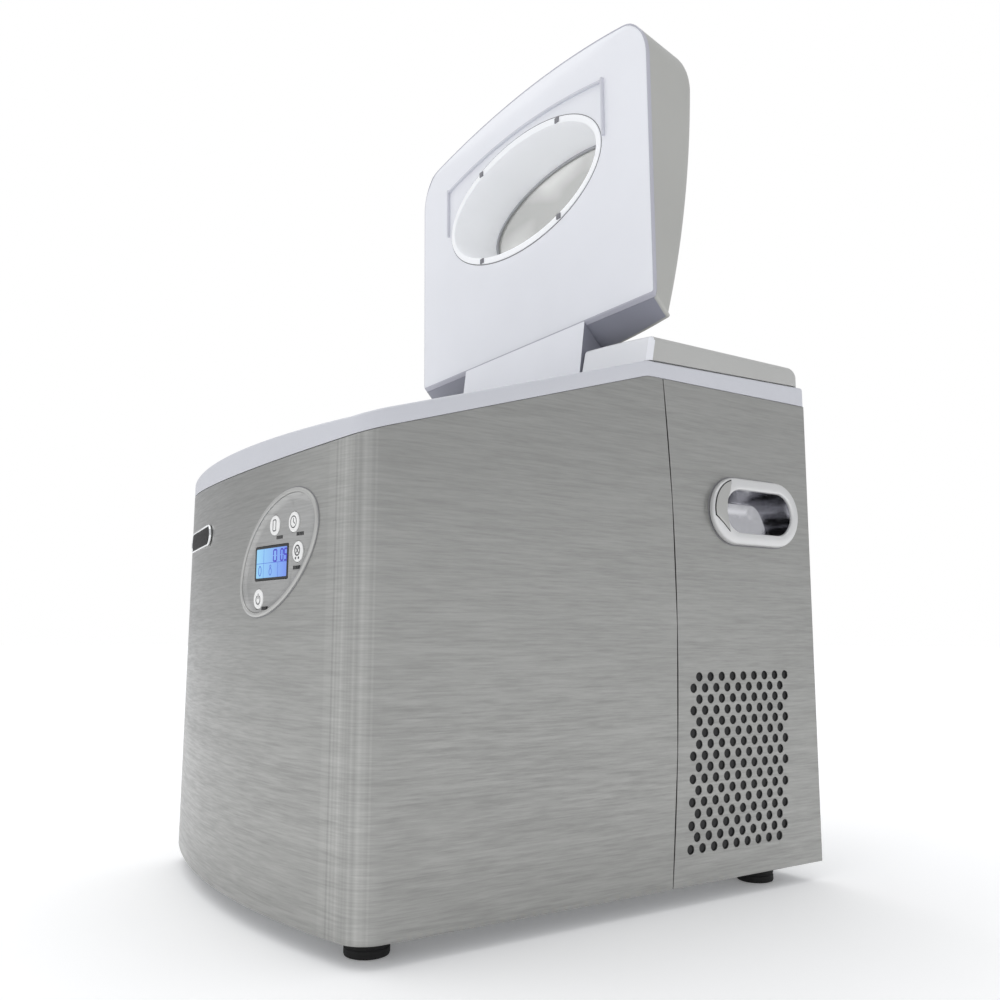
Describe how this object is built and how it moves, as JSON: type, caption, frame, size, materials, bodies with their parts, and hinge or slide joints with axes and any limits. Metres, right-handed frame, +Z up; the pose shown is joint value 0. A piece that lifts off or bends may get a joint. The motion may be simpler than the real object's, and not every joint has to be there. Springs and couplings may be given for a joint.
{
  "type": "countertop ice maker",
  "caption": "Countertop ice maker with a brushed steel body, sloping top and open windowed lid, oval control panel with display, side grips and vents, removable ice basket and drain cap.",
  "frame": {"origin": "on the standing surface, under the middle of the body (middle of the width over the two grips, middle of the depth)", "axes": "+Z up; the bowed front with the controls faces -Y; +X is to the right of someone facing the front"},
  "size_m": [0.376, 0.4376, 0.7137],
  "materials": {
    "brushed_steel_skin": "horizontally brushed, clear satin",
    "galvanised_sheet": "plain coated sheet",
    "chrome_trim": "bright plated",
    "rim_plastic": "pale grey, satin",
    "silver_plastic": "silver-grey painted, satin",
    "white_plastic": "cool white, satin",
    "foot_rubber": "matte",
    "clear_plastic": "clear",
    "lcd_face": "lit display behind a clear face",
    "button_plastic": "satin white",
    "black_plastic": "fine matte grain",
    "circuit_board": "solder-masked board",
    "copper_tube": "drawn copper",
    "bare_aluminium": "plain",
    "black_enamel": "gloss enamel over steel"
  },
  "bodies": {
    "cabinet": {"front_wrap_panel": "brushed_steel_skin", "side_panel_right": "brushed_steel_skin", "side_panel_left": "brushed_steel_skin", "control_face": "brushed_steel_skin", "base_pan": "galvanised_sheet", "rear_panel": "galvanised_sheet", "bulkhead": "galvanised_sheet", "fan_motor": "galvanised_sheet", "handle_cup_right": "chrome_trim", "handle_cup_left": "chrome_trim", "control_bezel": "chrome_trim", "hinge_pin_left": "chrome_trim", "hinge_pin_right": "chrome_trim", "rear_screw_1": "chrome_trim", "rear_screw_2": "chrome_trim", "rear_screw_3": "chrome_trim", "rear_screw_4": "chrome_trim", "top_rim": "rim_plastic", "rear_top_cover": "silver_plastic", "water_tub": "white_plastic", "drain_spout": "white_plastic", "foot_front_left": "foot_rubber", "foot_front_right": "foot_rubber", "foot_rear_left": "foot_rubber", "foot_rear_right": "foot_rubber", "water_hose": "clear_plastic", "lcd_display": "lcd_face", "badge": "black_plastic", "tray_motor": "black_plastic", "water_pump": "black_plastic", "ice_level_sensor": "black_plastic", "fan_shroud": "black_plastic", "cord_inlet": "black_plastic", "control_board": "circuit_board", "power_board": "circuit_board", "discharge_pipe": "copper_tube", "suction_pipe": "copper_tube", "filter_drier": "copper_tube", "evaporator": "bare_aluminium", "condenser": "bare_aluminium", "compressor": "black_enamel"},
    "lid": {"lid_liner": "white_plastic", "lid_shell": "silver_plastic", "window_ring": "white_plastic", "window_gasket": "foot_rubber", "window_pane": "clear_plastic"},
    "select_button": {"select_button": "button_plastic"},
    "timer_button": {"timer_button": "button_plastic"},
    "clean_button": {"clean_button": "button_plastic"},
    "power_button": {"power_button": "button_plastic"},
    "ice_basket": {"ice_basket": "white_plastic"},
    "water_tray": {"water_tray": "white_plastic"},
    "ice_rake": {"ice_rake": "white_plastic"},
    "fan_blades": {"fan_blades": "black_plastic"},
    "drain_cap": {"drain_cap": "black_plastic"}
  },
  "joints": [
    {"name": "lid_hinge", "type": "hinge", "parent": "cabinet", "child": "lid", "pos_m": [0, 0.06, 0.421], "axis": [-1, 0, 0], "range_deg": [-106, 0]},
    {"name": "select_press", "type": "slide", "parent": "cabinet", "child": "select_button", "axis": [-0.1228, 0.9924, 0], "range_m": [0, 0.001], "stiffness_N_per_m": 300},
    {"name": "timer_press", "type": "slide", "parent": "cabinet", "child": "timer_button", "axis": [-0.1228, 0.9924, 0], "range_m": [0, 0.001], "stiffness_N_per_m": 300},
    {"name": "clean_press", "type": "slide", "parent": "cabinet", "child": "clean_button", "axis": [-0.1228, 0.9924, 0], "range_m": [0, 0.001], "stiffness_N_per_m": 300},
    {"name": "power_press", "type": "slide", "parent": "cabinet", "child": "power_button", "axis": [-0.1228, 0.9924, 0], "range_m": [0, 0.001], "stiffness_N_per_m": 300},
    {"name": "basket_lift", "type": "slide", "parent": "cabinet", "child": "ice_basket", "axis": [0, 0, 1], "range_m": [0, 0.2]},
    {"name": "tray_tilt", "type": "hinge", "parent": "cabinet", "child": "water_tray", "pos_m": [0, -0.022, 0.322], "axis": [1, 0, 0], "range_deg": [0, 85]},
    {"name": "rake_slide", "type": "slide", "parent": "cabinet", "child": "ice_rake", "axis": [0, -1, 0], "range_m": [0, 0.025]},
    {"name": "fan_spin", "type": "hinge", "parent": "cabinet", "child": "fan_blades", "pos_m": [0.117, 0.13, 0.1], "axis": [1, 0, 0], "continuous": true},
    {"name": "drain_cap_turn", "type": "hinge", "parent": "cabinet", "child": "drain_cap", "pos_m": [-0.1, 0, 0.008], "axis": [0, 0, -1], "range_deg": [0, 90]}
  ],
  "couplings": [
    {"joint": "rake_slide", "follows": "tray_tilt", "m_per_rad": 0.0168}
  ]
}
